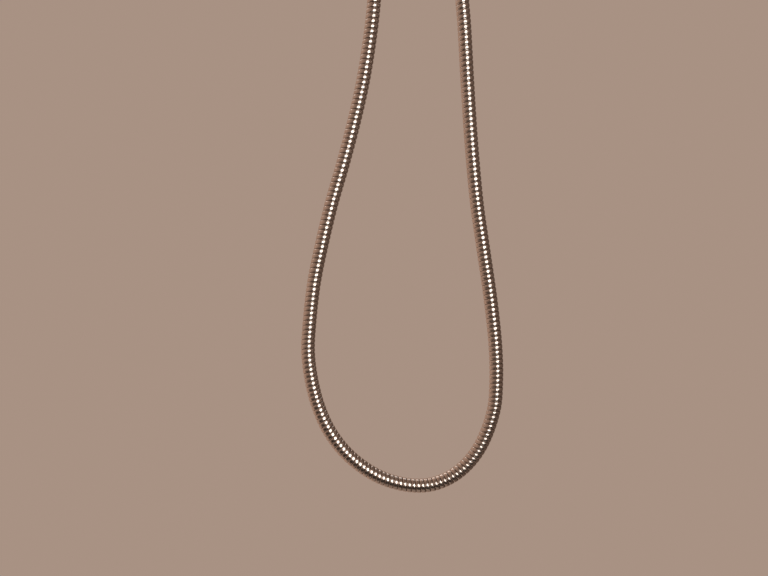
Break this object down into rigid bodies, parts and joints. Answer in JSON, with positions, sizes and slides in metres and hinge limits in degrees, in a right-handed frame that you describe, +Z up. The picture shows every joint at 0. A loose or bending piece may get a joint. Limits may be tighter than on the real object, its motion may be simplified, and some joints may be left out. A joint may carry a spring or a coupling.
{
  "type": "hand shower with hose and arm bracket",
  "caption": "Hand shower in the cradle of a ball-jointed shower-arm bracket, with a metal interlocked hose hanging in a long loop between the bracket's outlet and the handle.",
  "frame": {"origin": "centre of the arm fitting's inlet rim, where the shower arm screws in", "axes": "+Z up along the inlet, +X away from the wall towards the handset, Y across, with the hose loop in the XZ plane"},
  "size_m": [0.2621, 0.1073, 0.908],
  "materials": {
    "chromed_brass": "bright chrome plate on brass",
    "chromed_plastic": "bright chrome plate on ABS",
    "hose_metal": "chromed double-interlock strip, slightly dulled by water",
    "hose_liner": "translucent flexible tube",
    "brass": "machined",
    "stainless": "satin",
    "black_rubber": "moulded, matt",
    "white_nylon": "moulded",
    "grey_plastic": "moulded",
    "silicone": "moulded silicone, matt"
  },
  "bodies": {
    "arm_fitting": {"ball_fitting": "chromed_brass", "inlet_washer": "black_rubber", "inlet_screen": "stainless"},
    "ball_ring": {"ball_retainer_ring": "white_nylon"},
    "ball_seat": {"ball_seat": "white_nylon"},
    "bracket": {"collar_nut": "chromed_brass", "bracket_body": "chromed_plastic", "cradle_liner": "grey_plastic", "outlet_nipple": "brass", "nipple_o_ring": "black_rubber", "check_valve_cage": "white_nylon", "check_valve_seal": "black_rubber", "check_valve_spring": "stainless", "hose_armour": "hose_metal", "hose_liner": "hose_liner", "washer_bracket_end": "black_rubber", "hose_tail_bracket_end": "brass", "ferrule_bracket_end": "chromed_brass"},
    "valve_poppet": {"check_valve_poppet": "white_nylon"},
    "hose_nut_bracket": {"hose_nut_bracket_end": "chromed_brass"},
    "handset": {"handset_shell": "chromed_plastic", "waterway_core": "grey_plastic", "thread_insert": "brass", "insert_o_ring": "black_rubber", "flow_restrictor": "grey_plastic", "chamber_gasket": "black_rubber", "distributor_plate": "grey_plastic", "centre_screw": "stainless", "screw_cap": "chromed_plastic", "washer_handset_end": "black_rubber", "hose_tail_handset_end": "brass", "ferrule_handset_end": "chromed_brass"},
    "spray_face": {"selector_disc": "white_nylon", "nozzle_mat": "silicone", "face_plate": "grey_plastic", "selector_ring": "chromed_plastic"},
    "hose_nut_handset": {"hose_nut_handset_end": "chromed_brass"}
  },
  "joints": [
    {"name": "bracket_swivel", "type": "hinge", "parent": "arm_fitting", "child": "ball_ring", "pos_m": [0, 0, -0.036], "axis": [0, 0, 1], "range_deg": [-60, 60]},
    {"name": "bracket_tilt", "type": "hinge", "parent": "ball_ring", "child": "ball_seat", "pos_m": [0, 0, -0.036], "axis": [0, 1, 0], "range_deg": [-12, 12]},
    {"name": "bracket_roll", "type": "hinge", "parent": "ball_seat", "child": "bracket", "pos_m": [0, 0, -0.036], "axis": [1, 0, 0], "range_deg": [-12, 12]},
    {"name": "check_valve_travel", "type": "slide", "parent": "bracket", "child": "valve_poppet", "axis": [0, 0, -1], "range_m": [0, 0.0025], "stiffness_N_per_m": 60, "springref_m": -0.003, "deforming": ["check_valve_spring"]},
    {"name": "hose_nut_bracket_spin", "type": "hinge", "parent": "bracket", "child": "hose_nut_bracket", "pos_m": [0, 0, -0.112], "axis": [0, 0, 1], "continuous": true},
    {"name": "handset_lift", "type": "slide", "parent": "bracket", "child": "handset", "axis": [0.1392, 0, 0.9903], "range_m": [0, 0.075]},
    {"name": "spray_selector", "type": "hinge", "parent": "handset", "child": "spray_face", "pos_m": [0.16098, 0, 0.02398], "axis": [0.866, 0, -0.5], "range_deg": [-40, 40]},
    {"name": "hose_nut_handset_spin", "type": "hinge", "parent": "handset", "child": "hose_nut_handset", "pos_m": [0.0928, 0, -0.165], "axis": [0.1392, 0, 0.9903], "continuous": true}
  ]
}
